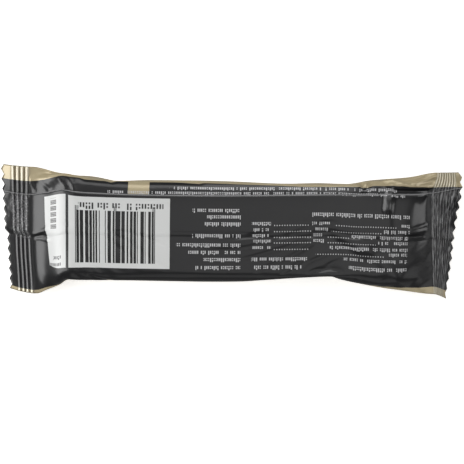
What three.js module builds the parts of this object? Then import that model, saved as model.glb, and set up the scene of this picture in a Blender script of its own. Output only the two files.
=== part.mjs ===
// A protein bar in its shut flow wrap, lying on its front with the back seam up.
// The wrap is one film: a tube round the bar, crimped flat into a seal at each end and
// closed along the back by a fin that is folded over flat. It can't be seen into, so bar
// and film are one solid. Millimetres, +X along the bar, +Y across it, +Z up.
import * as THREE from "three";
import { mergeVertices } from "three/addons/utils/BufferGeometryUtils.js";

// The film tube: half of its girth, which is its width where it is pressed flat.
const FLAT_WIDTH = 46.4;

// A crimped end seal: ribs beside the tube, then a plain margin with a zigzag cut.
const SEAL_LENGTH = 11.3;
const SEAL_THICKNESS = 0.5;
const RIB_COUNT = 5;
const RIB_PITCH = 1.65;
const RIB_HEIGHT = 0.45;
const TOOTH_COUNT = 12.5;
const TOOTH_DEPTH = 1.3;

// The folded fin on the back: its root is where it leaves the tube.
const FIN_ROOT = -1.3;
const FIN_WIDTH = 14.6;
const FIN_THICKNESS = 0.4;
const FIN_STEP = 0.12;

// The wrapped bar's cross-section has the film's girth, which gives its corner radius.
const BAR_WIDTH = 36.4;
const BAR_HEIGHT = 13.2;
const BAR_CORNER = (BAR_WIDTH + BAR_HEIGHT - FLAT_WIDTH) / (4 - Math.PI);

// Each seal, by distance across it: where it starts, and how steeply it droops. Lift
// tips it in height, and shift and flare move and widen its cut edge.
const LEFT = {
  outward: -1,
  middle: -72,
  start: through([[-23.2, -71], [23.2, -73]]),
  droop: through([[-23.2, 24], [23.2, 17]]),
  lift: 0,
  shift: 1.15,
  flare: -0.6,
};
const RIGHT = {
  outward: 1,
  middle: 73.1,
  start: through([[-23.2, 73.5], [0, 73.1], [13, 72.9], [23.2, 75.4]]),
  droop: through([[-23.2, 59], [-12, 49], [0, 35], [9, 20], [14, 11], [19, 22], [23.2, 33]]),
  lift: -0.09,
  shift: -1.6,
  flare: 0.5,
};

// The pack's two long edges as seen from above, from left seal to right seal.
const FAR_EDGE = through([
  [-72, 23.6], [-62.8, 21.4], [-55.5, 20.4], [-51.8, 20.3], [-44.5, 18.9], [-40.8, 18.3],
  [-29.9, 18.9], [-15, 18.8], [0, 18.4], [21, 17.5], [32, 17.8], [42, 17.4], [50.5, 18.8],
  [64.8, 20], [73.1, 21.7],
]);
const NEAR_EDGE = through([
  [-72, -22.3], [-67.9, -20.8], [-62.8, -18.9], [-59.1, -17], [-52, -17.3], [-30, -17.7],
  [-6, -18.1], [10.3, -17.3], [30, -16.2], [35.9, -16.3], [39.6, -17.2], [54.2, -20.1],
  [63, -21.3], [73.1, -22.5],
]);
// Top and underside of the pack along its middle.
const TOP = through([
  [-72, 6.35], [-60.5, 12.7], [-57, BAR_HEIGHT], [-10, BAR_HEIGHT], [34, 14.4], [52, 14.4],
  [60, 13.9], [66, 12.7], [70.5, 10.7], [73.1, 8.75],
]);
const UNDERSIDE = through([
  [-72, 5.85], [-61.5, 0.4], [-59, 0], [38, 0], [48, 1.1], [60, 3.9], [73.1, 8.25],
]);

// Steps across each layer in a seal and in the tube, and rings in each stretch.
const SEAL_STEPS = TOOTH_COUNT * 2;
const TUBE_STEPS = 38;
const STEPS_PER_RIB = 4;
const MARGIN_STEPS = 2;
const STRETCHES = [
  { end: -57, rings: 8 },
  { end: 34, rings: 15 },
  { end: RIGHT.middle, rings: 19 },
];

// A smooth curve through points, as a function of x, with no overshoot between them.
function through(points) {
  const slopes = points.slice(1).map(([x, y], i) => (y - points[i][1]) / (x - points[i][0]));
  const tangents = points.map((_, i) => {
    const [before, after] = [slopes[i - 1] ?? 0, slopes[i] ?? 0];
    return before * after > 0 ? (2 * before * after) / (before + after) : 0;
  });
  return (x) => {
    const next = points.findIndex(([px]) => px > x);
    const i = next < 0 ? points.length - 2 : Math.max(0, next - 1);
    const [[ax, ay], [bx, by]] = [points[i], points[i + 1]];
    const u = THREE.MathUtils.clamp((x - ax) / (bx - ax), 0, 1);
    const bend = u * (1 - u) * (bx - ax) * (tangents[i] * (1 - u) - tangents[i + 1] * u);
    return THREE.MathUtils.lerp(ay, by, u * u * (3 - 2 * u)) + bend;
  };
}

// The bar's section from the middle of its back round to the middle of its side: how far
// out and how high above mid-height the film lies at a distance along it.
function barSection(distance) {
  const flat = BAR_WIDTH / 2 - BAR_CORNER;
  const side = BAR_HEIGHT / 2 - BAR_CORNER;
  const angle = (distance - flat) / BAR_CORNER;
  if (angle <= 0) return [distance, BAR_HEIGHT / 2];
  if (angle >= Math.PI / 2) return [BAR_WIDTH / 2, FLAT_WIDTH / 2 - distance];
  return [flat + BAR_CORNER * Math.sin(angle), side + BAR_CORNER * Math.cos(angle)];
}

// Extra height of the back layer where the folded fin lies on it.
function finHeight(across) {
  if (across >= FIN_ROOT + FIN_WIDTH) return 0;
  return FIN_THICKNESS * THREE.MathUtils.smoothstep(across, FIN_ROOT - 0.8, FIN_ROOT + 0.4);
}

// A point of the tube: along is its distance along the pack, across its distance from the
// middle of the layer, and side is 1 on the back layer and -1 on the front layer.
function tubePoint(along, across, side) {
  const { lerp } = THREE.MathUtils;
  const [far, near, top, bottom] = [FAR_EDGE, NEAR_EDGE, TOP, UNDERSIDE].map((edge) => edge(along));
  const fullness = Math.min(1, (top - bottom - SEAL_THICKNESS) / (BAR_HEIGHT - SEAL_THICKNESS));
  const [out, up] = barSection(Math.abs(across));
  const reach = lerp(Math.abs(across), out, fullness) / lerp(FLAT_WIDTH, BAR_WIDTH, fullness);
  const y = (far + near) / 2 + Math.sign(across) * reach * (far - near);
  const seal = along < 0 ? LEFT : RIGHT;
  const nearSeal = (1 - fullness) ** 2;
  const x = along + nearSeal * (seal.start(across) - seal.middle);
  const z = (top + bottom) / 2 + (side * up * (top - bottom)) / BAR_HEIGHT;
  const fin = side > 0 ? finHeight(across) : 0;
  return new THREE.Vector3(x, y, z + nearSeal * seal.lift * across + fin);
}

// A point of a seal: out is its distance from where the seal starts.
function sealPoint(seal, out, across, side) {
  const point = tubePoint(seal.middle, across, side);
  const droop = THREE.MathUtils.degToRad(seal.droop(across));
  const ribbed = out < RIB_COUNT * RIB_PITCH;
  const rib = ribbed ? (RIB_HEIGHT / 2) * (1 - Math.cos((2 * Math.PI * out) / RIB_PITCH)) : 0;
  const share = (out / SEAL_LENGTH) ** 1.3;
  point.x += seal.outward * (out * Math.cos(droop) + rib * Math.sin(droop));
  point.y += share * (seal.shift + (seal.flare * 2 * across) / FLAT_WIDTH);
  point.z += rib * Math.cos(droop) - out * Math.sin(droop);
  return point;
}

// The zigzag cut: how far it goes past or short of the seal's length.
function tooth(across) {
  const phase = ((across + FLAT_WIDTH / 2) * SEAL_STEPS) / FLAT_WIDTH;
  return TOOTH_DEPTH * (0.5 - THREE.MathUtils.pingpong(phase, 1));
}

// A closed ring: over the back layer and home under the front layer. At is the distance
// round it. A close pair of points at the fin's free edge makes its step.
function ring(steps, place) {
  const edge = FIN_ROOT + FIN_WIDTH;
  const even = Array.from({ length: steps + 1 }, (_, i) => FLAT_WIDTH * (i / steps - 0.5));
  const across = [...even, edge - FIN_STEP, edge].sort((a, b) => a - b);
  const home = across.slice(1, -1).reverse();
  return [
    ...across.map((distance) => ({ at: distance, point: place(distance, 1) })),
    ...home.map((distance) => ({ at: FLAT_WIDTH - distance, point: place(distance, -1) })),
  ];
}

// Joins two rings, of any numbers of points, by a band of triangles.
function band(first, second, triangles) {
  const point = (points, i) => points[i % points.length].point;
  const at = (points, i) => {
    return points[i % points.length].at + 2 * FLAT_WIDTH * Math.floor(i / points.length);
  };
  let [i, j] = [0, 0];
  while (i < first.length || j < second.length) {
    const corners = [point(first, i), point(second, j)];
    if (at(first, i + 1) <= at(second, j + 1)) {
      i += 1;
      corners.push(point(first, i));
    } else {
      j += 1;
      corners.push(point(second, j));
    }
    triangles.push(...corners);
  }
}

// Closes a seal's cut edge with a strip between its back and front layers.
function cap(points, triangles, outward) {
  const last = points.length / 2 - 1;
  for (let i = 0; i <= last; i += 1) {
    const [a, b] = [points[i].point, points[i + 1].point];
    const [c, d] = [points[(points.length - i) % points.length].point, points[points.length - i - 1].point];
    const corners = i === 0 ? [a, b, d] : i === last ? [a, b, c] : [a, b, d, a, d, c];
    triangles.push(...(outward > 0 ? corners.reverse() : corners));
  }
}

// Rings of one seal, from beside the tube out to the zigzag cut.
function sealRings(seal) {
  const ribbed = RIB_COUNT * RIB_PITCH;
  const rings = [];
  for (let i = 1; i <= RIB_COUNT * STEPS_PER_RIB; i += 1) {
    const out = (i * RIB_PITCH) / STEPS_PER_RIB;
    rings.push(ring(SEAL_STEPS, (across, side) => sealPoint(seal, out, across, side)));
  }
  for (let i = 1; i <= MARGIN_STEPS; i += 1) {
    rings.push(ring(SEAL_STEPS, (across, side) => {
      const out = THREE.MathUtils.lerp(ribbed, SEAL_LENGTH + tooth(across), i / MARGIN_STEPS);
      return sealPoint(seal, out, across, side);
    }));
  }
  return rings;
}

// Rings of the tube, closer together where it tapers.
function tubeRings() {
  const places = [LEFT.middle];
  STRETCHES.forEach(({ end, rings }) => {
    const start = places[places.length - 1];
    for (let i = 1; i <= rings; i += 1) places.push(THREE.MathUtils.lerp(start, end, i / rings));
  });
  return places.map((along) => {
    return ring(TUBE_STEPS, (across, side) => tubePoint(along, across, side));
  });
}

function packGeometry() {
  const rings = [...sealRings(LEFT).reverse(), ...tubeRings(), ...sealRings(RIGHT)];
  const triangles = [];
  rings.slice(1).forEach((next, i) => band(rings[i], next, triangles));
  cap(rings[0], triangles, LEFT.outward);
  cap(rings[rings.length - 1], triangles, RIGHT.outward);
  const geometry = mergeVertices(new THREE.BufferGeometry().setFromPoints(triangles), 1e-4);
  geometry.computeVertexNormals();
  geometry.computeBoundingBox();
  return geometry;
}

// The pack lies on z = 0, with the middle of its outline over the origin.
const film = new THREE.MeshStandardMaterial({ color: 0x2c2c2f, roughness: 0.45, metalness: 0 });
const pack = new THREE.Mesh(packGeometry(), film);
pack.name = "wrapped_bar";
const { min, max } = pack.geometry.boundingBox;
pack.position.set(-(min.x + max.x) / 2, -(min.y + max.y) / 2, -min.z);

const bar = new THREE.Group();
bar.add(pack);
export default bar;
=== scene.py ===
from dataclasses import dataclass

import bmesh
import bpy
import numpy as np
from bpy.props import FloatProperty, FloatVectorProperty, IntProperty, PointerProperty
from bpy.types import Operator, Panel, PropertyGroup
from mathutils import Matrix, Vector


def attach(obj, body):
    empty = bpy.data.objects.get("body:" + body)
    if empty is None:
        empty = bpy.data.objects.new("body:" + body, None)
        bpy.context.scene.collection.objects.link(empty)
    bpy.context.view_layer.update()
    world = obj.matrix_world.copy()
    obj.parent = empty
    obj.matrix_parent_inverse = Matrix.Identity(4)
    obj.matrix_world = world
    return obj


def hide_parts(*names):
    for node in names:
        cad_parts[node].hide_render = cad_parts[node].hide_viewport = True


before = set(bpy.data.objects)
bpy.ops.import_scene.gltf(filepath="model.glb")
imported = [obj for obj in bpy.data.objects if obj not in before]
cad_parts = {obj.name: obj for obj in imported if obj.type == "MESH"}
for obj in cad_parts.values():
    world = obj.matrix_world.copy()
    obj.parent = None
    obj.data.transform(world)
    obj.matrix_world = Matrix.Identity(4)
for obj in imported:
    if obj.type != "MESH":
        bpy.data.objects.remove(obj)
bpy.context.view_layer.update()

bl_info = {
    "name": "Wrapped protein bar",
    "version": (1, 0, 0),
    "blender": (4, 5, 0),
    "location": "3D View > Sidebar > Bar",
    "description": "A protein bar in its crimped and printed flow wrap",
    "category": "Add Mesh",
}

NODE = "wrapped_bar"
MM = 0.001

# ---- sizes and colours


def metres(name, default, description):
    return FloatProperty(name=name, description=description, default=default, unit="LENGTH")


def tint(name, default, description):
    return FloatVectorProperty(name=name, description=description, default=default, subtype="COLOR")


def watts(name, default, description):
    return FloatProperty(name=name, description=description, default=default, unit="POWER")


class WrapSizes(PropertyGroup):
    """Sizes of the film, its fin and its end seals"""

    tooth_depth: metres("Tooth depth", 0.0013, "Depth of the zigzag cut")
    rib_height: metres("Rib height", 0.0009, "Height of a rib of an end seal")
    crumple: metres("Crumple", 0.0012, "Unevenness of the worn parts of the end seals")
    fin_lift: metres("Fin lift", 0.0003, "Height of the fin's free edge over the film")
    slack: metres("Slack", 0.0005, "Film to spare between the two end seals")
    pressure: FloatProperty(
        name="Pressure", description="Push of the air in the wrap in each round",
        default=0.0000004, precision=8, unit="LENGTH")
    seed: IntProperty(
        name="Seed", description="Seed of the small unevenness that wrinkles start from",
        default=3)


class WrapLook(PropertyGroup):
    """Colours and gloss of the printed film"""

    black: tint("Black", (0.009, 0.009, 0.010), "Printed band along the back")
    gold: tint("Gold", (0.54, 0.455, 0.285), "Champagne gold of the sides and the front")
    # Painted highlight: the colour the gold is lightened to on top of the seals' ribs.
    rib_highlight: tint("Shine", (0.86, 0.81, 0.66), "Gold where it is rubbed bright, on top of the ribs")
    label: tint("Label", (0.78, 0.79, 0.78), "White panels printed on the back")
    # Ink is also the colour that the seals' and the flap's painted highlights lighten the black to.
    ink_and_highlight: tint("Ink", (0.70, 0.70, 0.71), "Pale ink of the small print on black")
    roughness: FloatProperty(
        name="Roughness", description="Roughness of the film's surface",
        default=0.32, subtype="FACTOR", min=0.0, max=1.0)


class Studio(PropertyGroup):
    """Camera and lights"""

    height: metres("Camera height", 0.4777, "Height of the camera above the surface")
    key: watts("Key light", 2.55, "Power of the soft light on the left")
    fill: watts("Fill light", 1.4, "Power of the soft light on the far side")
    top: watts("Top light", 1.7, "Power of the large soft light overhead")
    ambient: FloatProperty(
        name="Ambient", description="Strength of the light from all round", default=0.12)
    paper: FloatProperty(
        name="Paper", description="Strength of the floor's own white glow", default=0.62)


# ---- the film's plan
# Millimetres, +X along the bar, +Y across it. Around is the distance round the film from the
# middle of the back, so that the back runs from -FLAT / 2 to FLAT / 2 and the front lies
# beyond. Across is the same distance for both layers, back and front.


def through(*points):
    """A smooth curve through points, as a function of x, with no overshoot between them."""
    x, y = np.array(points, float).T
    slopes = np.diff(y) / np.diff(x)
    before, after = np.r_[0, slopes], np.r_[slopes, 0]
    same = before * after > 0
    tangents = np.where(same, 2 * before * after / np.where(same, before + after, 1), 0)

    def curve(at):
        i = np.clip(np.searchsorted(x, at, side="right") - 1, 0, len(x) - 2)
        width = x[i + 1] - x[i]
        u = np.clip((at - x[i]) / width, 0, 1)
        bend = u * (1 - u) * width * (tangents[i] * (1 - u) - tangents[i + 1] * u)
        return y[i] + (y[i + 1] - y[i]) * u * u * (3 - 2 * u) + bend

    return curve


# The film tube's width pressed flat, and the distance between its layers at the seals.
FLAT = 46.4
THIN = 0.2

# The fin: where its root is on the back, how far from it the free edge is, and how much more
# than elsewhere that edge gapes.
FIN_ROOT = -2.0
FIN_EDGE = through((-85, 15.3), (-70, 15.2), (-26, 14.8), (25, 15.1), (50, 15.6), (66, 16.4),
                   (75, 17.6), (86, 19.4))
FIN_GAPE = through((-70, 0), (-64, 0.1), (40, 0.1), (62, 0.7), (70, 0.7), (73, 0))

# The fin's columns by their distance from its root. The last two are its cut edge, and those
# past the start of the give spread out to follow the free edge.
FIN_CUT = 14.55
FIN_COLUMNS = np.r_[np.linspace(-1.2, 1.2, 7)[:-1], np.linspace(1.2, 14.15, 28), 14.2, FIN_CUT]
FIN_GIVE = dict(start=4, length=10)
FIN_THICKNESS = 0.16
FIN_CUT_DROP = 0.11

# The fin starts sunk in the back and rises out of it over its fold. Its edge lifts over a width.
FIN_FOLD = dict(start=-1.0, width=1.8, sunk=-0.08, rise=0.3)
FIN_LIFT_WIDTH = 4


@dataclass
class Seal:
    """One crimped end. Start and droop, in degrees, are curves across the film, curl is how much
    less its plain margin droops, and lift, shift and flare say how its start slopes and how its
    cut edge lies to it."""

    outward: int
    middle: float
    length: float
    ribs: int
    rib_pitch: float
    start: object
    droop: object
    curl: float
    lift: float
    shift: float
    flare: float


LEFT = Seal(-1, -72.8, 10.9, 4, 1.8, curl=-16, lift=0.0, shift=1.4, flare=-0.2,
            start=through((-23.2, -71.9), (-8, -72.7), (-2.5, -72.9), (0, -73.8), (10, -73.8),
                          (23.2, -73.7)),
            droop=through((-23.2, 24), (4, 23), (12, 18), (23.2, 10)))
RIGHT = Seal(1, 73.1, 11.3, 8, 1.12, curl=0, lift=-0.09, shift=-0.85, flare=1.25,
             start=through((-23.2, 73.5), (0, 73.1), (13, 72.9), (23.2, 75.4)),
             droop=through((-23.2, 58), (-12, 47.6), (-6, 41.8), (2, 35), (9, 23), (14, 11), (19, 21),
                           (23.2, 33)))

# The seals' zigzag, the gap between their rows of points, the rows in their plain margin, and
# how suddenly they shift sideways.
HALF_TEETH = 25
SEAL_ROW_GAP = 0.21
MARGIN_ROWS = 4
SHIFT_POWER = 1.3

# How worn the seals' ribs are, by the distance from the fin's root. The right seal is crumpled
# except at its sides, and the left one is rubbed where the fin runs through it. Wear takes
# height off the ribs, and the right seal's first ribs are pressed less. The same share sets how
# strong the seals' painted highlight streaks and pale specks are.
CRUMPLED = dict(least=0.25, more=0.65, within=20.5, fade=2)
RUBBED = dict(least=0.1, more=0.7, low=-1, high=15.2)
WEAR_START = 0.5
RIB_LOSS = 0.55
FIRST_RIBS = 0.6

# The pack's two long edges from above, and its top and underside along the middle.
FAR_EDGE = through(
    (-72, 23.9), (-62.8, 21.7), (-55.5, 20.7), (-51.8, 20.6), (-44.5, 19.2), (-40.8, 18.5),
    (-29.9, 18.9), (-15, 18.8), (0, 18.4), (21, 17.5), (32, 17.8), (42, 17.4), (50.5, 18.8),
    (64.8, 20), (73.1, 21.7))
NEAR_EDGE = through(
    (-72, -22.5), (-67.9, -21.2), (-62.8, -19.4), (-59.1, -17.4), (-52, -17.5), (-30, -17.8),
    (-6, -18.2), (4, -18.1), (10.3, -17.6), (30, -16.3), (35.9, -16.1), (39.6, -17.2),
    (54.2, -20.2), (63, -21.4), (73.1, -22.5))
TOP = through((-72, 6.2), (-60.5, 12.6), (-57, 13.2), (-10, 13.2), (34, 14.2), (45, 13.7),
              (56, 12.5), (66, 10.6), (73.1, 8.6))
UNDERSIDE = through((-72, 6.0), (-61.5, 0.4), (-59, 0), (38, 0), (48, 1.1), (60, 3.9), (73.1, 8.4))

# The film's section round the bar before it settles, and where it first has its full height.
SNUG_WIDTH, SNUG_HEIGHT = 36.4, 13.2
WEDGE_END = -57.0

# How the left end's wedge thins from its middle to its two side creases.
SHOULDER = through((-23.2, 0), (-15, 0.9), (-12, 1), (10, 1), (13.2, 0.92), (17, 0.45), (23.2, 0))

# The bar inside: narrower and thicker towards its right end.
BAR_ENDS = (-59.0, 36.0)
BAR_WIDTH = through((-59, 35.9), (-20, 35.9), (10, 34.6), (30, 33.2), (36, 33.2))
BAR_HEIGHT = through((-59, 13.0), (-10, 13.0), (20, 13.6), (36, 14.0))
BAR_ROUNDING = 3.2


def rounded_section(across, width, height):
    """Where the film lies round a snug bar: how far out, and how high above mid-height."""
    corner = (width + height - FLAT) / (4 - np.pi)
    flat, side = width / 2 - corner, height / 2 - corner
    angle = np.clip((across - flat) / corner, 0, np.pi / 2)
    past = np.maximum(across - flat - corner * np.pi / 2, 0)
    out = np.minimum(across, flat) + corner * np.sin(angle)
    return out, side + corner * np.cos(angle) - past


def first_tube(along, around):
    """The film's tube before it settles, as a grid of points. Around starts at the near crease."""
    top_layer = around <= FLAT / 2
    across = np.where(top_layer, around, FLAT - around)
    far, near, top, under = (edge(along) for edge in (FAR_EDGE, NEAR_EDGE, TOP, UNDERSIDE))
    full = np.minimum(1, (top - under - THIN) / (TOP(WEDGE_END) - THIN))
    out, up = rounded_section(np.abs(across), SNUG_WIDTH, SNUG_HEIGHT)
    sunk = SHOULDER(across) * (SNUG_HEIGHT / 2) - up
    up = up + (1 - full) * (along < 0) * sunk
    reach = np.abs(across) + full * (out - np.abs(across))
    reach = reach / (FLAT + full * (SNUG_WIDTH - FLAT))
    y = (far + near) / 2 + np.sign(across) * reach * (far - near)
    by_seal = (1 - full) ** 2
    x = along + 0 * y
    z = (top + under) / 2 + np.where(top_layer, 1, -1) * up * (top - under) / SNUG_HEIGHT
    for seal, here in ((LEFT, along < 0), (RIGHT, along >= 0)):
        x = x + here * by_seal * (seal.start(across) - seal.middle)
        z = z + here * by_seal * seal.lift * across
    return np.stack([x, y, z], -1)


# ---- how the film settles

# In each round the film keeps a share of its speed. Its threads and its diagonals hold their
# length, the pack's edges hold it in, and its creases and middles hold their places.
KEPT_SPEED = 0.9
THREAD_HOLD, DIAGONAL_HOLD = 0.25, 0.2
EDGE_HOLD, PLACE_HOLD = 0.6, 0.05

# How far the film may rise over the bar, and how uneven it is at first.
HEADROOM = 0.25
UNEVEN = 0.05


def pull(points, step, rest, strength, only_push=False):
    """Moves each point and its neighbour a step of (rows, columns) away to their rest distance."""
    rows, columns = step
    here = points[: len(points) - rows]
    there = np.roll(points, -columns, axis=1)[rows:]
    gap = there - here
    length = np.sqrt((gap * gap).sum(-1, keepdims=True)) + 1e-9
    stretch = (length - rest) / length
    if only_push:
        stretch = np.minimum(stretch, 0)
    move = gap * stretch * strength
    here += move
    points[rows:] -= np.roll(move, columns, axis=1)


def push_out_of_bar(points):
    """Puts the points that are inside the bar onto its rounded surface."""
    x, y, z = points[..., 0], points[..., 1], points[..., 2]
    middle = (FAR_EDGE(x) + NEAR_EDGE(x)) / 2
    half = np.stack([0 * x + (BAR_ENDS[1] - BAR_ENDS[0]) / 2, BAR_WIDTH(x) / 2, BAR_HEIGHT(x) / 2], -1)
    centre = np.stack([0 * x + (BAR_ENDS[1] + BAR_ENDS[0]) / 2, middle, half[..., 2]], -1)
    place = points - centre
    core = half - BAR_ROUNDING
    nearest = np.clip(place, -core, core)
    away = place - nearest
    distance = np.sqrt((away * away).sum(-1, keepdims=True))
    surface = nearest + away * BAR_ROUNDING / np.maximum(distance, 1e-9)
    rounded = (distance[..., 0] < BAR_ROUNDING) & (distance[..., 0] > 1e-9)
    points[rounded] = (centre + surface)[rounded]
    deep = np.argwhere(distance[..., 0] <= 1e-9)
    for row, column in deep:
        spot, reach = place[row, column], half[row, column]
        axis = np.argmin(reach - np.abs(spot))
        points[row, column, axis] = centre[row, column, axis] + np.copysign(reach[axis], spot[axis])


def settle(points, gaps, rounds, stiffness, pressure):
    """Lets a grid of film that can't stretch find its folds between its two fixed end rows."""
    ends = points[0].copy(), points[-1].copy()
    row_gap, column_gap = gaps
    diagonal = np.hypot(row_gap, column_gap)
    speed = np.zeros_like(points)
    for _ in range(rounds):
        before = points.copy()
        along = points[2:] - points[:-2]
        round_it = (np.roll(points, -1, 1) - np.roll(points, 1, 1))[1:-1]
        normal = np.cross(along, round_it)
        normal /= np.sqrt((normal * normal).sum(-1, keepdims=True)) + 1e-9
        speed[1:-1] += pressure * normal
        points += KEPT_SPEED * speed
        for _ in range(2):
            pull(points, (1, 0), row_gap, THREAD_HOLD)
            pull(points, (0, 1), column_gap, THREAD_HOLD)
            pull(points, (1, 1), diagonal, DIAGONAL_HOLD)
            pull(points, (1, -1), diagonal, DIAGONAL_HOLD)
        pull(points, (2, 0), 2 * row_gap, stiffness, only_push=True)
        pull(points, (0, 2), 2 * column_gap, stiffness, only_push=True)
        push_out_of_bar(points)
        x = points[..., 0]
        points[..., 2] = np.clip(points[..., 2], 0, BAR_HEIGHT(x) + HEADROOM)
        far, near = FAR_EDGE(x), NEAR_EDGE(x)
        points[..., 1] += EDGE_HOLD * (np.clip(points[..., 1], near, far) - points[..., 1])
        for quarter, share in enumerate((0, 0.5, 1, 0.5)):
            column = quarter * points.shape[1] // 4
            wanted = near[:, column] + share * (far - near)[:, column]
            points[:, column, 1] += PLACE_HOLD * (wanted - points[:, column, 1])
        points[0], points[-1] = ends
        speed = points - before
    return points


def between_rows(points):
    """The grid with a row between every two, on a smooth curve through their neighbours."""
    padded = np.concatenate([2 * points[:1] - points[1:2], points, 2 * points[-1:] - points[-2:-1]])
    middle = (9 * (padded[1:-2] + padded[2:-1]) - padded[:-3] - padded[3:]) / 16
    finer = np.empty((2 * len(points) - 1, *points.shape[1:]))
    finer[0::2], finer[1::2] = points, middle
    return finer


def between_columns(points):
    """The grid with a column between every two, round a closed tube."""
    after = np.roll(points, -1, 1)
    middle = (9 * (points + after) - np.roll(points, 1, 1) - np.roll(points, -2, 1)) / 16
    return np.stack([points, middle], 2).reshape(len(points), -1, 3)


# Rounds of settling and the film's stiffness, from the coarse grid to the fine one.
LEVELS = ((420, 0.22), (260, 0.14), (110, 0.1))
COARSE_ROWS, COARSE_COLUMNS = 56, 50

# How taut the film is pulled afterwards, which takes that share of its wrinkles away.
CALM = through((-66, 1), (-61, 0.85), (-56, 0.3), (-52, 0), (38, 0), (50, 0.6), (73, 0.7))

# Creases in the back layer, by their place in the flat film: from here, to there, how wide,
# and how high (a groove is less than 0). Along and round are as in the print below.
CREASES = (
    (-73, -0.1, -69.5, -0.1, 0.40, -0.20),
    (-22, -0.1, 72, -0.1, 0.45, -0.24),
    (-22, 1.1, 72, 1.1, 0.45, -0.20),
    (-73, 0.4, -67, 2.2, 0.45, 0.35),
    (-73, -1.0, -67.5, -2.0, 0.45, 0.30),
    (64.8, 3.6, 71.3, 5.1, 0.50, 0.65),
    (64.5, 2.2, 71.3, 3.3, 0.50, 0.60),
    (64, 0.9, 70.6, 0.8, 0.80, -0.70),
    (56.8, 17.0, 56.1, 10.6, 1.40, 1.45),
    (56.4, 9.0, 56.6, 2.0, 1.40, 0.30),
    (72.4, 16.0, 70.8, 2.0, 1.40, -0.30),
    (46, -4.3, 49, -4.3, 3.20, 0.80),
    (55, -9.0, 59, -14, 2.60, 0.60),
    (-74, 20.4, -55, 20.3, 1.40, 0.55),
    (-73.8, 19, -72.4, 15.8, 0.45, 0.35),
    (-70, 19, -66.6, 15.8, 0.45, 0.40),
    (-62.8, 19, -59.8, 15.8, 0.45, 0.30),
    (-58.3, 19, -56.5, 15.8, 0.45, 0.25),
    (-71, 23.5, -60, 21.8, 0.60, -0.30),
    (-66, 21.4, -52, 20.9, 0.60, 0.35),
    (-46, 21.5, -43, 19.5, 0.70, -0.60),
    (-20, 21.0, -12, 20.0, 0.70, -0.40),
    (-10, 19.3, 56, 18.5, 0.70, 0.25),
    (58, 19.4, 73, 19.8, 1.10, 0.80),
    (59, 17.3, 73, 18.2, 0.80, -0.70),
    (66, 20.6, 75, 24.3, 0.60, 0.80),
    (60, 21.6, 70, 23.4, 0.60, -0.60),
    (55, 21.4, 66, 20.8, 0.70, 0.45),
    (46, 21, 48, 17.3, 0.90, -1.00),
    (50.5, 20.5, 48, 17.3, 0.90, -1.00),
    (56, 22.5, 62, 20, 0.80, 0.60),
)


def crease_height(along, around):
    """How far the creases raise the film at a place in the flat film."""
    height = 0 * along + 0 * around
    for start, low, end, high, width, rise in CREASES:
        run, climb = end - start, high - low
        share = np.clip(((along - start) * run + (around - low) * climb) / (run * run + climb * climb), 0, 1)
        away = np.hypot(along - start - share * run, around - low - share * climb)
        height = height + rise * np.exp(-((away / width) ** 2))
    return height


def smooth_tube(rows, columns):
    """The first tube as a grid with even gaps, its places along and round, and its length."""
    fine = np.linspace(LEFT.middle, RIGHT.middle, 2001)
    path = np.r_[0, np.cumsum(np.hypot(np.diff(fine), np.diff(TOP(fine))))]
    even = np.linspace(0, path[-1], rows)
    along = np.interp(even, path, fine)
    around = FLAT * (np.arange(columns) * 2 / columns - 0.5)
    return first_tube(along[:, None], around[None, :]), even - np.interp(0, fine, path), around, path[-1]


def settled_tube(sizes):
    """The film between the seals: points by row along it and column round it, and their places
    in the flat film."""
    points, _, _, length = smooth_tube(COARSE_ROWS, COARSE_COLUMNS)
    noise = np.random.default_rng(sizes.seed)
    points[1:-1] += noise.normal(0, UNEVEN, points[1:-1].shape)
    gaps = np.array([(length + sizes.slack / MM) / (COARSE_ROWS - 1), 2 * FLAT / COARSE_COLUMNS])
    for level, (rounds, stiffness) in enumerate(LEVELS):
        if level:
            points = between_columns(between_rows(points))
            gaps = gaps / 2
        points = settle(points, gaps, rounds, stiffness, sizes.pressure / MM / 2**level)
    smooth, along, around, _ = smooth_tube(*points.shape[:2])
    points += CALM(along)[:, None, None] * (smooth - points)
    return points, along, around


def keep_apart(points):
    """Keeps the back layer over the front one, by at least half of their gap at the seals."""
    half = points.shape[1] // 2
    back, front = points[:, 1:half, 2], points[:, :half:-1, 2]
    overlap = np.maximum(0, THIN / 2 - (back - front)) / 2
    back += overlap
    front -= overlap


def seal_rows(seal, edge, around, sizes):
    """Rows of a seal from beside the tube out to its zigzag cut: points, distances out and ribs
    passed."""
    ribbed = seal.ribs * seal.rib_pitch
    across = np.where(around <= FLAT / 2, around, FLAT - around)
    half_tooth = (across / FLAT + 0.5) * HALF_TEETH % 2
    cut = seal.length + sizes.tooth_depth / MM * (0.5 - np.minimum(half_tooth, 2 - half_tooth))
    steps = round(ribbed / SEAL_ROW_GAP)
    shares = np.r_[np.linspace(0, 1, steps + 1)[1:], np.ones(MARGIN_ROWS)]
    margin = np.r_[np.zeros(steps), np.linspace(0, 1, MARGIN_ROWS + 1)[1:]]
    out = shares[:, None] * ribbed + margin[:, None] * (cut - ribbed)
    droop, bend = np.radians(seal.droop(across)), np.radians(seal.droop(across) - seal.curl)
    share = (out / seal.length) ** SHIFT_POWER
    shift = share * (seal.shift + seal.flare * 2 * across / FLAT)
    plain = np.maximum(out - ribbed, 0)
    ahead = (out - plain) * np.cos(droop) + plain * np.cos(bend)
    down = (out - plain) * np.sin(droop) + plain * np.sin(bend)
    move = np.stack([seal.outward * ahead, shift, -down], -1)
    return edge + move, out, shares[:, None] * seal.ribs + 0 * out


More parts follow.
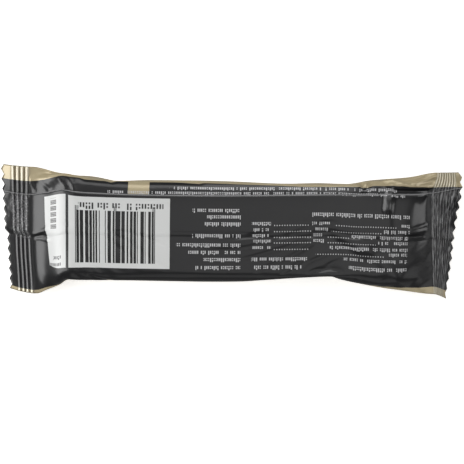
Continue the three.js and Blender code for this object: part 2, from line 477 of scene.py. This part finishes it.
class Film:
    """The whole film as a grid of points, with the places of its rows along it and its columns
    around it. Each point also has its distance out in a seal, less than 0 in the tube, the ribs
    passed, how worn it is, which also sets how strong its painted highlights are, and how far its
    rib is pressed up."""

    def __init__(self, sizes):
        tube, self.along, self.around = settled_tube(sizes)
        left, left_out, left_ribs = seal_rows(LEFT, tube[0], self.around, sizes)
        right, right_out, right_ribs = seal_rows(RIGHT, tube[-1], self.around, sizes)
        none = np.zeros(tube.shape[:2])
        self.points = np.concatenate([left[::-1], tube, right])
        self.out = np.concatenate([left_out[::-1], none - 1, right_out])
        self.ribs = np.concatenate([left_ribs[::-1], none, right_ribs])
        mean_left, mean_right = left_out.mean(1), right_out.mean(1)
        self.along = np.r_[self.along[0] - mean_left[::-1], self.along, self.along[-1] + mean_right]
        top_layer = self.around <= FLAT / 2
        from_root = np.where(top_layer, self.around, FLAT - self.around) - FIN_ROOT
        inside = np.clip((CRUMPLED["within"] - np.abs(from_root)) / CRUMPLED["fade"], 0, 1)
        crumpled = CRUMPLED["least"] + CRUMPLED["more"] * inside
        by_fin = (from_root > RUBBED["low"]) & (from_root < RUBBED["high"])
        rubbed = RUBBED["least"] + RUBBED["more"] * by_fin
        right = self.along[:, None] > 0
        self.wear_and_sheen = np.where(right, crumpled, rubbed) * np.clip(self.out / WEAR_START, 0, 1)
        first = np.where(right, np.clip(FIRST_RIBS * self.ribs, 0, 1), 1)
        self.press = (1 - RIB_LOSS * self.wear_and_sheen) * first
        height = crease_height(self.along[:, None], from_root[None, :])
        in_tube = top_layer * np.clip(-self.out, 0, 1)
        self.points += (in_tube * height)[..., None] * self.normals()
        keep_apart(self.points)
        self.points -= (self.points.min((0, 1)) + self.points.max((0, 1))) / 2 * (1, 1, 0)

    def normals(self):
        """Unit normals, up on the back layer."""
        along = np.gradient(self.points, axis=0)
        around = np.roll(self.points, -1, 1) - np.roll(self.points, 1, 1)
        normal = np.cross(along, around)
        return normal / (np.sqrt((normal * normal).sum(-1, keepdims=True)) + 1e-9)


# ---- meshes

# The flat film in the unit square of the UV map: the tube below, the fin above it, the fin's
# cut edge in a strip over that, and the fin's hidden underside in a strip at the top.
MAP_SPAN = 180.0
MAP_ROUND = 118.0
MAP_START = -FLAT / 2 - FIN_ROOT
MAP_FIN_LOW, MAP_FIN = 0.791, 0.806
MAP_EDGE, MAP_EDGE_SPAN = 0.975, 0.003
MAP_UNDER, MAP_TOP = 0.982, 0.999
MAP_NAME = "OFBake"


def grid_mesh(name, points, place, attributes):
    """A mesh from a grid of points in millimetres, closed round its columns. Place holds u and v
    of each point, with one more column for where it closes."""
    rows, columns = points.shape[:2]
    index = np.arange(rows * columns).reshape(rows, columns)
    index = np.concatenate([index, index[:, :1]], 1)
    corner = np.arange(rows * place.shape[1]).reshape(rows, -1)
    steps = [(slice(None, -1), slice(None, -1)), (slice(1, None), slice(None, -1)),
             (slice(1, None), slice(1, None)), (slice(None, -1), slice(1, None))]
    faces = np.stack([index[step] for step in steps], -1).reshape(-1, 4)
    corners = np.stack([corner[step] for step in steps], -1).reshape(-1)
    mesh = bpy.data.meshes.new(name)
    mesh.from_pydata((points.reshape(-1, 3) * MM).tolist(), [], faces.tolist())
    layer = mesh.uv_layers.new(name=MAP_NAME)
    layer.uv.foreach_set("vector", place.reshape(-1, 2)[corners].astype(np.float32).ravel())
    for key, values in attributes.items():
        data = mesh.attributes.new(key, "FLOAT", "POINT").data
        data.foreach_set("value", np.ravel(values).astype(np.float32))
    mesh.shade_smooth()
    return mesh


def add_object(name, mesh):
    piece = bpy.data.objects.new(name, mesh)
    bpy.context.scene.collection.objects.link(piece)
    return piece


def close_ends(mesh, rows, columns):
    """Joins the back and front layers of the film along its two zigzag cuts."""
    work = bmesh.new()
    work.from_mesh(mesh)
    work.verts.ensure_lookup_table()
    for row, flip in ((0, False), (rows - 1, True)):
        ring = [work.verts[row * columns + k] for k in range(columns)]
        for k in range(columns // 2):
            a, b = ring[k], ring[k + 1]
            c, d = ring[(columns - k) % columns], ring[columns - k - 1]
            face = [a, b, d, c]
            face = [v for i, v in enumerate(face) if v not in face[:i]]
            work.faces.new(face if flip else face[::-1])
    work.to_mesh(mesh)
    work.free()


# ---- node trees


def operation(name, swapped=False):
    """A method that adds a Math node for a value and the others."""

    def method(self, *others):
        values = (*others, self) if swapped else (self, *others)
        return self.nodes.math(name, *values)

    return method


class Value:
    """A number in a node tree. Sums and products of values add Math nodes."""

    def __init__(self, nodes, socket):
        self.nodes, self.socket = nodes, socket

    __add__, __radd__ = operation("ADD"), operation("ADD", swapped=True)
    __sub__, __rsub__ = operation("SUBTRACT"), operation("SUBTRACT", swapped=True)
    __mul__, __truediv__ = operation("MULTIPLY"), operation("DIVIDE")
    __gt__, __lt__ = operation("GREATER_THAN"), operation("LESS_THAN")
    __abs__, floor, over = operation("ABSOLUTE"), operation("FLOOR"), operation("MAXIMUM")


class Nodes:
    """A node tree, built from Python expressions."""

    def __init__(self, tree):
        self.tree = tree

    def put(self, socket, value):
        if isinstance(value, Value):
            value = value.socket
        if isinstance(value, bpy.types.NodeSocket):
            self.tree.links.new(value, socket)
        elif socket.type == "RGBA":
            socket.default_value = (*value[:3], 1)
        else:
            socket.default_value = value

    def node(self, kind, settings=None, **links):
        node = self.tree.nodes.new(kind)
        for key, value in (settings or {}).items():
            setattr(node, key, value)
        for key, value in links.items():
            self.put(next(s for s in node.inputs if key in (s.identifier, s.name)), value)
        return node

    def math(self, kind, *values, clamp=False):
        node = self.node("ShaderNodeMath", {"operation": kind, "use_clamp": clamp})
        for socket, value in zip(node.inputs, values):
            self.put(socket, value)
        return self.value(node)

    def value(self, node, output=0):
        return Value(self, node.outputs[output])


# ---- crimping, by geometry nodes

# Noise steps in each metre along and across. Crumples are longer across the pack than along it.
CRUMPLE_SPOTS = (1000, 330, 0)
CRUMPLE_SCALE, CRUMPLE_DETAIL = 0.8, 2.5


def crimp_tree(material):
    """Presses ribs and small crumples into what has the attributes ribs, press and wear_and_sheen."""
    tree = bpy.data.node_groups.new("Crimp", "GeometryNodeTree")
    face = tree.interface
    face.new_socket("Geometry", in_out="INPUT", socket_type="NodeSocketGeometry")
    sockets = {}
    for name in ("Rib height", "Crumple"):
        socket = face.new_socket(name, in_out="INPUT", socket_type="NodeSocketFloat")
        sockets[name] = socket.identifier
    face.new_socket("Geometry", in_out="OUTPUT", socket_type="NodeSocketGeometry")
    nodes = Nodes(tree)
    start = nodes.node("NodeGroupInput")
    ribs, press, wear_and_sheen = (
        nodes.value(nodes.node("GeometryNodeInputNamedAttribute", {"data_type": "FLOAT"}, Name=name))
        for name in ("ribs", "press", "wear_and_sheen"))
    wave = nodes.math("SUBTRACT", 1.0, nodes.math("COSINE", ribs * (2 * np.pi)), clamp=True)
    ridge = wave * wave * (3.0 - wave * 2.0) * nodes.value(start, "Rib height") * press
    spot = nodes.node("GeometryNodeInputPosition").outputs[0]
    spots = nodes.node("ShaderNodeVectorMath", {"operation": "MULTIPLY"},
                       Vector=spot, Vector_001=CRUMPLE_SPOTS)
    noise = nodes.node("ShaderNodeTexNoise", Vector=spots.outputs[0],
                       Scale=CRUMPLE_SCALE, Detail=CRUMPLE_DETAIL)
    height = ridge + (nodes.value(noise) - 0.5) * nodes.value(start, "Crumple") * wear_and_sheen
    offset = nodes.node("ShaderNodeCombineXYZ", Z=height)
    moved = nodes.node("GeometryNodeSetPosition", Geometry=start.outputs[0], Offset=offset.outputs[0])
    real = nodes.node("GeometryNodeRealizeInstances", Geometry=moved.outputs[0])
    dressed = nodes.node("GeometryNodeSetMaterial", Geometry=real.outputs[0], Material=material)
    nodes.node("NodeGroupOutput", Geometry=dressed.outputs[0])
    return tree, sockets


def crimp(piece, material, sizes):
    """Presses the crimp into the piece and leaves it as a plain mesh."""
    modifier = piece.modifiers.new("Crimp", "NODES")
    modifier.node_group, sockets = crimp_tree(material)
    modifier[sockets["Rib height"]] = sizes.rib_height
    modifier[sockets["Crumple"]] = sizes.crumple
    bpy.context.view_layer.update()
    graph = bpy.context.evaluated_depsgraph_get()
    mesh = bpy.data.meshes.new_from_object(piece.evaluated_get(graph), depsgraph=graph)
    piece.modifiers.clear()
    old, piece.data = piece.data, mesh
    bpy.data.meshes.remove(old)
    mesh.name = piece.name


# ---- shaders


class Shader(Nodes):
    """A material's node tree."""

    def __init__(self, name):
        self.material = bpy.data.materials.new(name)
        self.material.use_nodes = True
        super().__init__(self.material.node_tree)
        self.surface = self.tree.nodes["Principled BSDF"]

    def attribute(self, name):
        return self.value(self.node("ShaderNodeAttribute", {"attribute_name": name}), 2)

    def share(self, x, whole):
        """How much of the whole x is, from 0 to 1."""
        return self.math("DIVIDE", x, whole, clamp=True)

    def between(self, x, low, high, soft=0.08):
        """1 where x is between low and high, with soft edges."""
        return self.share(x - (low - soft / 2), soft) * self.share((high + soft / 2) - x, soft)

    def noise(self, scale, detail, **place):
        """Soft noise over a plane."""
        spot = self.node("ShaderNodeCombineXYZ", **place)
        made = self.node("ShaderNodeTexNoise", {"noise_dimensions": "2D"}, Vector=spot.outputs[0],
                         Scale=scale, Detail=detail)
        return self.value(made)

    def mix(self, mask, first, second):
        made = self.node("ShaderNodeMix", {"data_type": "RGBA"},
                         Factor_Float=mask, A_Color=first, B_Color=second)
        return next(s for s in made.outputs if s.identifier == "Result_Color")

    def random(self, x, y):
        """Three random values for each whole x and y."""
        place = self.node("ShaderNodeCombineXYZ", X=x, Y=y)
        drawn = self.node("ShaderNodeTexWhiteNoise", {"noise_dimensions": "2D"}, Vector=place.outputs[0])
        parts = self.node("ShaderNodeSeparateColor", Color=drawn.outputs["Color"])
        return [self.value(parts, i) for i in range(3)]


# ---- the print
# Places in the flat film, in millimetres: along it from the middle, and round it from the
# fin's root towards the fin's free edge.

# The black band, half its width, and how far its far edge narrows and widens again and its near
# edge draws in, each as (start, length, how far).
BAND_HALF = 19.9
BAND_NARROWS = (-20.0, 45.0, 1.8)
BAND_WIDENS = (35.0, 45.0, 1.6)
BAND_DRAWS_IN = (46.0, 28.0, 1.5)

# The gold mark that the band's far edge cuts into, and the black disc on the front.
EYE_MARK = (-37.4, -29.8, 13.0, 20.2)
FRONT_DISC = dict(along=-23.7, radius=15.5)

# The two white panels as (start, end, low, high). The first one's left side curves in towards
# its near end, and its near side rises to the left, each as (start, length, how far).
LABELS = ((-68.6, -59.6, -12.0, 13.6), (-58.6, -22.3, -12.0, 13.4))
LABEL_CURVE = (13.6, 25.6, 2.0)
LABEL_SLOPE = (-59.6, 9.0, 1.7)

# Marks on the panels: stripes, the thin guards at their ends and middle, a row of figures, a
# block of dots, and two short rows of (middle, start, end). Seeds set which ticks there are.
BARS = dict(along=(-55.7, -28.0), around=(-10.2, 8.6), module=0.31, dark=0.72, seeds=(3.0, 4.0))
GUARDS = dict(end=10.2, apart=0.3, half=0.15)
DIGITS = dict(along=(-55.0, -24.6), around=(9.0, 11.4), pitch=1.05, seed=40.0)
DOTS = dict(along=(-65.9, -63.3), around=(2.0, 12.6), pitch=0.52, group=4.0, filled=0.75)
PANEL_ROWS = ((-8.0, -65.0, -61.5), (-10.4, -66.5, -61.5))
PANEL_TALL, PANEL_SEED = 1.4, 60.0

# The gap from tick to tick, the shares of ticks that are tall, broken and left out, and, as
# shares of their space, how wide and high they are and where they break.
TICK_PITCH = 0.66
TICK_TALL, TICK_BROKEN, TICK_GAPS = 0.25, 0.4, 0.14
TICK_WIDTH, TICK_HEIGHT, TICK_BREAK = (0.18, 0.74), (0.26, 1.0), (0.52, 0.72)

# The leaders' fine dots: their gap, their width as a share of it, and their place in the row.
LEADER_PITCH, LEADER_DOT, LEADER_LINE = 0.92, (0.3, 0.65), (-0.8, -0.42)

# Small print on black: rows of (height round the film, start, end, tick height).
ROWS = (
    (9.2, -14.2, 3.0, 1.5), (6.9, -9.0, 3.0, 1.5), (4.4, -10.0, 3.0, 1.5), (0.1, -14.2, 3.0, 1.5),
    (-3.3, -20.0, 3.0, 1.5), (-6.0, -15.6, 3.0, 1.5), (-8.6, -10.2, 3.0, 1.5), (-11.5, -13.0, 3.0, 1.5),
    (7.8, 28.6, 64.6, 1.6), (4.6, 60.6, 64.6, 1.3), (2.4, 55.0, 64.4, 1.3), (0.2, 43.0, 64.2, 1.3),
    (-1.8, 53.0, 64.0, 1.3), (-4.2, 35.0, 63.8, 1.3), (-6.0, 56.0, 63.6, 1.3), (-8.4, 40.0, 63.6, 1.3),
    (-11.4, 42.0, 63.6, 1.5),
    (4.6, 7.0, 14.0, 1.3), (2.4, 7.6, 14.0, 1.3), (0.2, 7.2, 14.0, 1.3), (-1.8, 7.6, 14.0, 1.3),
    (-4.2, 7.2, 14.0, 1.3), (-8.4, 7.0, 27.0, 1.4), (-11.4, 7.6, 25.0, 1.6),
    (4.6, 28.6, 35.4, 1.3), (2.4, 29.0, 34.4, 1.3), (0.2, 29.0, 33.0, 1.3), (-1.8, 29.0, 33.0, 1.3),
    (15.4, -44.6, 62.6, 1.2), (17.2, -22.6, 60.0, 1.2),
)

# Rows of fine dots between them: (height round the film, start, end).
LEADERS = (
    (4.6, 36.5, 59.5), (2.4, 35.5, 54.0), (0.2, 34.2, 42.0), (-1.8, 34.2, 52.0), (-6.0, 30.0, 55.0),
    (4.6, 15.0, 27.8), (2.4, 15.0, 28.2), (0.2, 15.0, 28.2), (-1.8, 14.6, 28.2), (-4.2, 14.6, 27.6),
)


def film_place(shader):
    """Where a point lies in the flat film: along, round, and 1 on the fin and on its cut edge."""
    place = shader.node("ShaderNodeUVMap", {"uv_map": MAP_NAME})
    parts = shader.node("ShaderNodeSeparateXYZ", Vector=place.outputs[0])
    u, v = shader.value(parts, 0), shader.value(parts, 1)
    on_fin = v > MAP_FIN_LOW
    along = (u - 0.5) * MAP_SPAN
    around = v * MAP_ROUND + MAP_START - on_fin * (MAP_START + MAP_FIN * MAP_ROUND)
    cut_edge = (v > MAP_EDGE - 0.001) * (v < MAP_UNDER - 0.001)
    return along, around, on_fin, cut_edge


def strokes(shader, along, height, row, pitch):
    """Plain upright ticks, some tall and some broken, in place of letters. Height is 0 to 1
    within the row."""
    cell = (along / pitch).floor()
    within = along / pitch - cell
    first, second, third = shader.random(cell, row)
    body = shader.between(height, *TICK_HEIGHT, 0.1)
    tall = shader.between(height, 0.0, 1.0, 0.1)
    broken = (second > 1 - TICK_BROKEN) * shader.between(height, *TICK_BREAK, 0.1)
    upright = body + (first > 1 - TICK_TALL) * (tall - body)
    return shader.between(within, *TICK_WIDTH, 0.2) * upright * (1.0 - broken) * (third > TICK_GAPS)


def small_print(shader, along, around):
    """The pale rows on the black band."""
    row_sum, height_sum, mask_sum = 0.0, 0.0, 0.0
    for number, (middle, start, end, tall) in enumerate(ROWS):
        inside = shader.between(around, middle - tall / 2, middle + tall / 2, 0.05)
        inside = inside * shader.between(along, start, end, 0.05)
        hard = inside > 0.01
        row_sum = hard * float(number) + row_sum
        height_sum = hard * ((around - (middle - tall / 2)) / tall) + height_sum
        mask_sum = inside + mask_sum
    text = strokes(shader, along, height_sum, row_sum, TICK_PITCH) * mask_sum
    dots = 0.0
    spot = along / LEADER_PITCH
    dot = shader.between(spot - spot.floor(), *LEADER_DOT, 0.1)
    low, high = LEADER_LINE
    for middle, start, end in LEADERS:
        line = shader.between(around, middle + low, middle + high)
        dots = line * shader.between(along, start, end) + dots
    return text + dot * dots


def label_print(shader, along, around):
    """Dark marks on the white panels."""
    left, right = BARS["along"]
    cell = ((along - left) / BARS["module"]).floor()
    one, other = BARS["seeds"]
    narrow, wide = shader.random(cell, one)[0], shader.random((cell / 2.0).floor(), other)[0]
    stripe = (narrow * 0.7 + wide * 0.8) > BARS["dark"]
    in_bars = shader.between(along, left, right, 0.05) * shader.between(around, *BARS["around"])
    lines = 0.0
    for at in (left, (left + right) / 2, right):
        for line in (at - GUARDS["apart"], at + GUARDS["apart"]):
            lines = shader.between(along, line - GUARDS["half"], line + GUARDS["half"], 0.05) + lines
    guards = lines * shader.between(around, BARS["around"][0], GUARDS["end"])
    low, high = DIGITS["around"]
    in_row = shader.between(around, low, high, 0.05) * shader.between(along, *DIGITS["along"])
    height = (around - low) / (high - low)
    figures = strokes(shader, along, height, DIGITS["seed"], DIGITS["pitch"]) * in_row
    in_block = shader.between(along, *DOTS["along"], 0.05) * shader.between(around, *DOTS["around"])
    across, up = (along - DOTS["along"][0]) / DOTS["pitch"], around / DOTS["pitch"]
    dot = shader.between(across - across.floor(), 0.1, 0.9) * shader.between(up - up.floor(), 0.1, 0.9)
    group = up / DOTS["group"]
    dots = dot * (group - group.floor() < DOTS["filled"]) * in_block
    small = 0.0
    for number, (middle, start, end) in enumerate(PANEL_ROWS):
        low, high = middle - PANEL_TALL / 2, middle + PANEL_TALL / 2
        row = shader.between(around, low, high, 0.05) * shader.between(along, start, end)
        height = (around - low) / PANEL_TALL
        small = strokes(shader, along, height, PANEL_SEED + number, TICK_PITCH) * row + small
    return (stripe * in_bars).over(guards).over(figures).over(dots).over(small)


def black_print(shader, along, around, on_fin):
    """1 on the band, on the front's disc and on the fin, and 0 on the gold mark."""
    narrows, widens, near = (
        shader.share(along - start, length) * far
        for start, length, far in (BAND_NARROWS, BAND_WIDENS, BAND_DRAWS_IN))
    band = shader.between(around + narrows - widens, -2 * BAND_HALF, BAND_HALF, 0.12)
    band = band * (around > near - BAND_HALF)
    u = along - FRONT_DISC["along"]
    v = around - FLAT
    disc = shader.math("SQRT", u * u + v * v) < FRONT_DISC["radius"]
    start, end, low, high = EYE_MARK
    eye = shader.between(along, start, end, 0.1) * shader.between(around, low, high, 0.1)
    return band.over(disc).over(on_fin) * (1.0 - eye * (1.0 - on_fin))


def white_print(shader, along, around):
    """1 on the two white panels."""
    top, length, far = LABEL_CURVE
    down = shader.share(top - around, length)
    curve = down * down * far
    right, length, far = LABEL_SLOPE
    slope = shader.share(right - along, length) * far
    white = 0.0
    for (start, end, low, high), (side, foot) in zip(LABELS, ((curve, slope), (0.0, 0.0))):
        inside = shader.between(along, start + side, end, 0.1)
        white = inside * shader.between(around, low + foot, high, 0.1) + white
    return white


# ---- painted highlights and shade, pale specks and finish

# Painted shade and painted highlight on the seals' gold: how much it darkens between the ribs and lightens
# on top of them.
GOLD_RIB_SHADE, GOLD_RIB_HIGHLIGHT = 0.35, 0.8

# How much the black pales: painted highlights on the ribs' tops, in the right seal's streaks and
# on the flap's crease, and pale specks on the left seal's ribs. The fin's cut edge shows a share
# of the ink's colour.
PALE = dict(tops=0.06, streaks=0.32, specks=0.25, flap_highlight=0.22)
CUT_EDGE_PALE = 0.35

# The painted highlight streaks are longer round the film than along it. Noise is seen over a level, with a
# contrast.
STREAK_SQUEEZE = 0.15
STREAKS = dict(scale=1.4, detail=3.0, level=0.5, contrast=6.0)
SPECKS = dict(scale=1.5, detail=2.0, level=0.48, contrast=7.0)

# The painted highlight on the flap's crease starts from a tip and leans and widens from there round the
# film.
FLAP_HIGHLIGHT = dict(along=55.2, around=9.0, lean=0.12, tip=8.0, widening=0.15, low=8.6, high=16.2,
            level=0.4, contrast=4.0)

GOLD_METAL = 0.25
COAT, COAT_ROUGHNESS = 0.6, 0.2
FINE_GRAIN = dict(scale=2600.0, detail=3.0, height=0.25)
SOFT_GRAIN = dict(scale=170.0, detail=4.0, roughness=0.12)
GRAIN_STRENGTH, GRAIN_DEPTH = 0.25, 0.0002


def seal_ribs(shader, along):
    """1 in the ribbed part of the end seals, and how far up a rib a point is."""
    ribs = shader.attribute("ribs")
    ribbed = (ribs > 0.02) * (ribs < (along > 0.0) * (RIGHT.ribs - LEFT.ribs) + (LEFT.ribs - 0.02))
    return ribbed, 0.5 - shader.math("COSINE", ribs * (2 * np.pi)) * 0.5


def painted_seal_highlights(shader, along, around, ribbed, tops):
    """How far the black is lightened: painted highlights on the seals and the flap's crease, and pale
    specks.
    """

    def over_level(noise, kind):
        return shader.math("MULTIPLY", noise - kind["level"], kind["contrast"], clamp=True)

    # Painted highlights: pale streaks on the right seal and a lighter top on every rib. The left seal's ribs
    # get pale specks.
    streaks = shader.noise(STREAKS["scale"], STREAKS["detail"], X=along, Y=around * STREAK_SQUEEZE)
    specks = shader.noise(SPECKS["scale"], SPECKS["detail"], X=along, Y=around)
    left = along < 0.0
    streak_highlights = over_level(streaks, STREAKS) * PALE["streaks"] * (1.0 - left)
    specked = over_level(specks, SPECKS) * ribbed * PALE["specks"] * left
    seals = tops * PALE["tops"] + shader.attribute("wear_and_sheen") * (streak_highlights + specked)
    # Painted highlight along a crease in the flap, lightening the black.
    crease = (around - FLAP_HIGHLIGHT["around"]) * FLAP_HIGHLIGHT["lean"]
    half = (around - FLAP_HIGHLIGHT["tip"]) * FLAP_HIGHLIGHT["widening"]
    beside = abs(along - FLAP_HIGHLIGHT["along"] - crease) / half
    flap_highlight = shader.between(beside, -1.0, 1.0, 0.8)
    flap_highlight = flap_highlight * shader.between(around, FLAP_HIGHLIGHT["low"], FLAP_HIGHLIGHT["high"], 0.8)
    return seals + flap_highlight * over_level(streaks, FLAP_HIGHLIGHT) * PALE["flap_highlight"]


def film_material(look):
    """Satin printed film, with painted highlights and shade on its seals and on the flap's crease."""
    shader = Shader("printed_film")
    along, around, on_fin, cut_edge = film_place(shader)
    black = black_print(shader, along, around, on_fin)
    white = white_print(shader, along, around)
    text = small_print(shader, along, around) * (1.0 - white)
    marks = label_print(shader, along, around) * white
    ribbed, tops = seal_ribs(shader, along)
    wear_and_sheen = painted_seal_highlights(shader, along, around, ribbed, tops)
    # Painted shade in the gaps between the seals' ribs and painted highlight on their tops, on the gold.
    gold = shader.mix(ribbed * (1.0 - tops) * GOLD_RIB_SHADE, look.gold, look.black)
    gold = shader.mix(ribbed * tops * GOLD_RIB_HIGHLIGHT, gold, look.rib_highlight)
    colour = shader.mix(black, gold, look.black)
    colour = shader.mix(white, colour, look.label)
    colour = shader.mix(text, colour, look.ink_and_highlight)
    colour = shader.mix(marks, colour, look.black)
    colour = shader.mix(cut_edge * CUT_EDGE_PALE, colour, look.ink_and_highlight)
    # Painted highlights on the black of the seals and the flap's crease, with pale specks on the left seal's
    # ribs.
    colour = shader.mix(wear_and_sheen * black, colour, look.ink_and_highlight)
    place = shader.node("ShaderNodeTexCoord").outputs["Object"]
    fine, soft = (
        shader.value(shader.node("ShaderNodeTexNoise", Vector=place, Scale=grain["scale"],
                                 Detail=grain["detail"]))
        for grain in (FINE_GRAIN, SOFT_GRAIN))
    bump = shader.node("ShaderNodeBump", Strength=GRAIN_STRENGTH, Distance=GRAIN_DEPTH,
                       Height=fine * FINE_GRAIN["height"] + soft)
    gold_part = (1.0 - black) * (1.0 - white)
    surface = shader.surface
    shader.put(surface.inputs["Base Color"], colour)
    shader.put(surface.inputs["Metallic"], gold_part * GOLD_METAL)
    shader.put(surface.inputs["Coat Weight"], COAT)
    shader.put(surface.inputs["Coat Roughness"], COAT_ROUGHNESS)
    shader.put(surface.inputs["Roughness"], look.roughness + (soft - 0.5) * SOFT_GRAIN["roughness"])
    shader.put(surface.inputs["Normal"], bump.outputs[0])
    return shader.material


# ---- operators

# The lens and its sensor in millimetres, and how far the camera is moved across the pack.
LENS, SENSOR = 100, 36
CAMERA_SHIFT = -0.00015
FLOOR_SIZE = 6


class BAR_OT_wrap(Operator):
    """Wrap the bar: settle the film's tube and crimp its ends"""

    bl_idname = "bar.wrap"
    bl_label = "Film wrap"

    def execute(self, context):
        sizes = context.scene.wrap_sizes
        film = Film(sizes)
        BAR_OT_wrap.film = film
        rows, columns = film.points.shape[:2]
        around = np.r_[film.around, film.around[0] + 2 * FLAT] - FIN_ROOT
        u = np.broadcast_to(film.along[:, None] / MAP_SPAN + 0.5, (rows, columns + 1))
        v = np.broadcast_to((around - MAP_START) / MAP_ROUND, (rows, columns + 1))
        attributes = {"ribs": film.ribs, "press": film.press, "wear_and_sheen": film.wear_and_sheen}
        mesh = grid_mesh("film", film.points, np.stack([u, v], -1), attributes)
        close_ends(mesh, rows, columns)
        piece = add_object("film", mesh)
        material = film_material(context.scene.wrap_look)
        crimp(piece, material, sizes)
        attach(piece, "root")
        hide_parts(NODE)
        return {"FINISHED"}


class BAR_OT_fin(Operator):
    """Fold the fin over on the back"""

    bl_idname = "bar.fin"
    bl_label = "Folded fin"

    def execute(self, context):
        sizes = context.scene.wrap_sizes
        film = BAR_OT_wrap.film
        width = FIN_EDGE(film.along)[:, None]
        share = np.clip((FIN_COLUMNS - FIN_GIVE["start"]) / FIN_GIVE["length"], 0, 1)
        out = FIN_COLUMNS + share * (width - FIN_CUT)
        columns = len(film.around)
        column = (out + FIN_ROOT + FLAT / 2) * columns / (2 * FLAT)
        whole = np.floor(column).astype(int)
        part = (column - whole)[..., None]
        rows = np.arange(len(film.points))[:, None]

        def pick(grid):
            """The film's values at the fin's points."""
            grid = grid if grid.ndim == 3 else grid[..., None]
            return grid[rows, whole % columns] * (1 - part) + grid[rows, (whole + 1) % columns] * part

        def both(top):
            """The top's values, and the same ones back along the underside."""
            return np.concatenate([top, top[:, ::-1]], 1)

        under, normal = pick(film.points), pick(film.normals())
        grids = film.ribs, film.press, film.wear_and_sheen, film.out
        ribs, press, wear_and_sheen, beyond = (pick(grid)[..., 0] for grid in grids)
        fold = np.clip((out - FIN_FOLD["start"]) / FIN_FOLD["width"], 0, 1)
        lift = FIN_FOLD["sunk"] + FIN_FOLD["rise"] * fold * fold * (3 - 2 * fold)
        edge = np.clip((out - width + FIN_LIFT_WIDTH) / FIN_LIFT_WIDTH, 0, 1) ** 2
        in_tube = np.clip(-beyond, 0, 1)
        lift = lift + edge * in_tube * (sizes.fin_lift / MM + FIN_GAPE(film.along)[:, None])
        top = under + normal * lift[..., None]
        bottom = top - normal * FIN_THICKNESS
        top[:, -2:] -= normal[:, -2:] * FIN_CUT_DROP
        points = np.concatenate([top, bottom[:, ::-1]], 1)
        u = film.along[:, None] / MAP_SPAN + 0.5 + 0 * out
        v_top = MAP_FIN + out / MAP_ROUND
        v_top[:, -2:] = MAP_EDGE + np.array([0, MAP_EDGE_SPAN])
        inwards = (out.max() - out) / (out.max() - out.min())
        v_under = MAP_UNDER + (MAP_TOP - MAP_UNDER) * inwards[:, ::-1]
        v = np.concatenate([v_top, v_under, np.ones_like(v_top[:, :1])], 1)
        u = np.concatenate([u, u, u[:, :1]], 1)
        attributes = {"ribs": both(ribs), "press": both(press), "wear_and_sheen": both(wear_and_sheen)}
        mesh = grid_mesh("fin", points, np.stack([u, v], -1), attributes)
        close_ends(mesh, *points.shape[:2])
        piece = add_object("fin", mesh)
        crimp(piece, bpy.data.materials["printed_film"], sizes)
        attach(piece, "root")
        return {"FINISHED"}


class BAR_OT_stage(Operator):
    """Set up the pale floor, the soft lights and the camera"""

    bl_idname = "bar.stage"
    bl_label = "Stage"

    def execute(self, context):
        studio = context.scene.bar_studio
        scene = context.scene
        scene.view_settings.view_transform = "Standard"
        bpy.ops.mesh.primitive_plane_add(size=FLOOR_SIZE)
        floor = context.object
        floor.name = "floor"
        paper = Shader("paper")
        paper.put(paper.surface.inputs["Base Color"], (0.92, 0.92, 0.92))
        paper.put(paper.surface.inputs["Roughness"], 0.9)
        paper.put(paper.surface.inputs["Emission Strength"], studio.paper)
        floor.data.materials.append(paper.material)
        floor.visible_glossy = False
        world = bpy.data.worlds.new("studio")
        world.use_nodes = True
        background = world.node_tree.nodes["Background"].inputs
        background["Color"].default_value = (1, 1, 1, 1)
        background["Strength"].default_value = studio.ambient
        scene.world = world
        soft_light("left_softbox", (-0.50, 0.05, 0.34), 0.50, studio.key)
        soft_light("far_softbox", (0.05, 0.62, 0.60), 0.5, studio.fill)
        soft_light("right_softbox", (0.66, 0.16, 0.22), 0.45, studio.fill * 0.7)
        soft_light("near_softbox", (0.10, -0.65, 0.30), 0.5, studio.fill * 0.2)
        soft_light("top_softbox", (0.30, 0, 1.2), 1.0, studio.top)
        lens = bpy.data.cameras.new("camera")
        lens.lens = LENS
        lens.sensor_width = SENSOR
        camera = bpy.data.objects.new("camera", lens)
        scene.collection.objects.link(camera)
        camera.location = (0, CAMERA_SHIFT, studio.height)
        scene.camera = camera
        return {"FINISHED"}


def soft_light(name, place, size, power):
    light = bpy.data.lights.new(name, "AREA")
    light.energy, light.size = power, size
    lamp = bpy.data.objects.new(name, light)
    bpy.context.scene.collection.objects.link(lamp)
    lamp.location = place
    lamp.rotation_euler = Vector(place).to_track_quat("Z", "Y").to_euler()


class BAR_PT_panel(Panel):
    """Lists what makes the bar"""

    bl_label = "Wrapped protein bar"
    bl_space_type = "VIEW_3D"
    bl_region_type = "UI"
    bl_category = "Bar"

    def draw(self, context):
        for name in GROUPS:
            group = getattr(context.scene, name)
            box = self.layout.box()
            for key in group.__annotations__:
                box.prop(group, key)
        for operator in STEPS:
            self.layout.operator(operator.bl_idname)


GROUPS = {"wrap_sizes": WrapSizes, "wrap_look": WrapLook, "bar_studio": Studio}
STEPS = (BAR_OT_wrap, BAR_OT_fin, BAR_OT_stage)


def register():
    for kind in (*GROUPS.values(), *STEPS, BAR_PT_panel):
        bpy.utils.register_class(kind)
    for name, kind in GROUPS.items():
        setattr(bpy.types.Scene, name, PointerProperty(type=kind))


def unregister():
    for name in GROUPS:
        delattr(bpy.types.Scene, name)
    for kind in reversed((*GROUPS.values(), *STEPS, BAR_PT_panel)):
        bpy.utils.unregister_class(kind)


def main():
    register()
    bpy.ops.bar.wrap()
    bpy.ops.bar.fin()
    bpy.ops.bar.stage()


if __name__ == "__main__":
    main()
